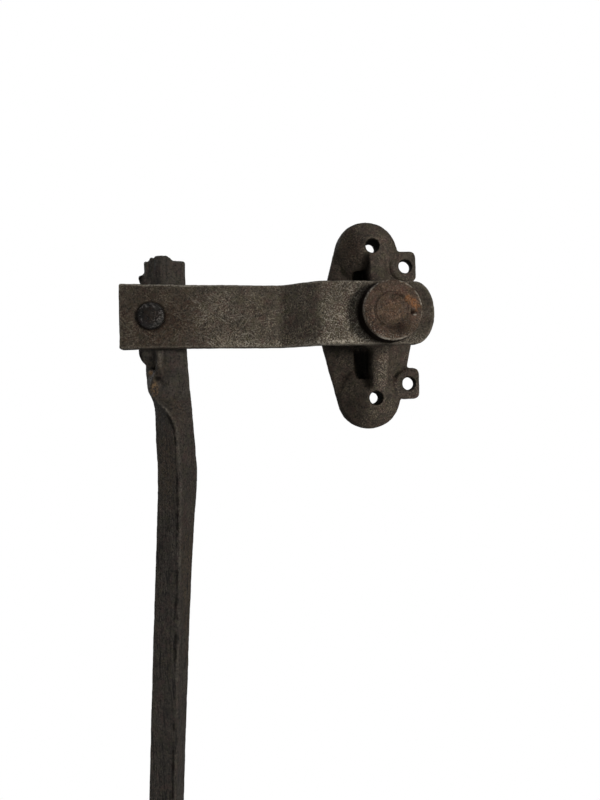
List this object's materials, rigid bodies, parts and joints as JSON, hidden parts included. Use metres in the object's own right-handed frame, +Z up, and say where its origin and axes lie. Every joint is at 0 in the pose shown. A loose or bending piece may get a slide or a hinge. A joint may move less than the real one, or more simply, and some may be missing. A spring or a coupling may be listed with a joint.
{
  "type": "toggle bolt latch",
  "caption": "Toggle bolt latch: a joggled strap arm turns on a cast wall bracket and carries a long square rod on a rivet.",
  "frame": {"origin": "on the bracket's flat back, which lies on the wall, at the axis of the pivot stud", "axes": "+Z up along the bracket and the hanging rod, +X from the rod towards the bracket, +Y into the wall"},
  "size_m": [0.1935, 0.054, 0.4815],
  "materials": {
    "cast_bracket": "grainy sand-cast iron, dark brown-black patina, lighter worn edges",
    "strap_iron": "forged flat strap, dull brown-grey, speckled and scratched, bright worn edges",
    "rod_iron": "forged square bar, dark and pitted, with cracks along the grain",
    "rusty_steel": "brown rusted steel with an orange patch and a bright worn rim",
    "black_steel": "smooth near-black steel with a satin gloss"
  },
  "bodies": {
    "bracket_body": {"bracket": "cast_bracket", "pivot_stud": "rusty_steel", "pivot_cap": "rusty_steel", "thrust_washer": "black_steel"},
    "arm_body": {"arm": "strap_iron", "rod_rivet": "black_steel", "spacer_washer": "black_steel", "rivet_rove": "black_steel"},
    "rod_body": {"rod": "rod_iron"}
  },
  "joints": [
    {"name": "arm_swing", "type": "hinge", "parent": "bracket_body", "child": "arm_body", "pos_m": [0, -0.038, 0], "axis": [0, 1, 0], "range_deg": [-60, 60]},
    {"name": "rod_swing", "type": "hinge", "parent": "arm_body", "child": "rod_body", "pos_m": [-0.14398, -0.01, 0.00214], "axis": [0, 1, 0], "range_deg": [-45, 90]}
  ]
}
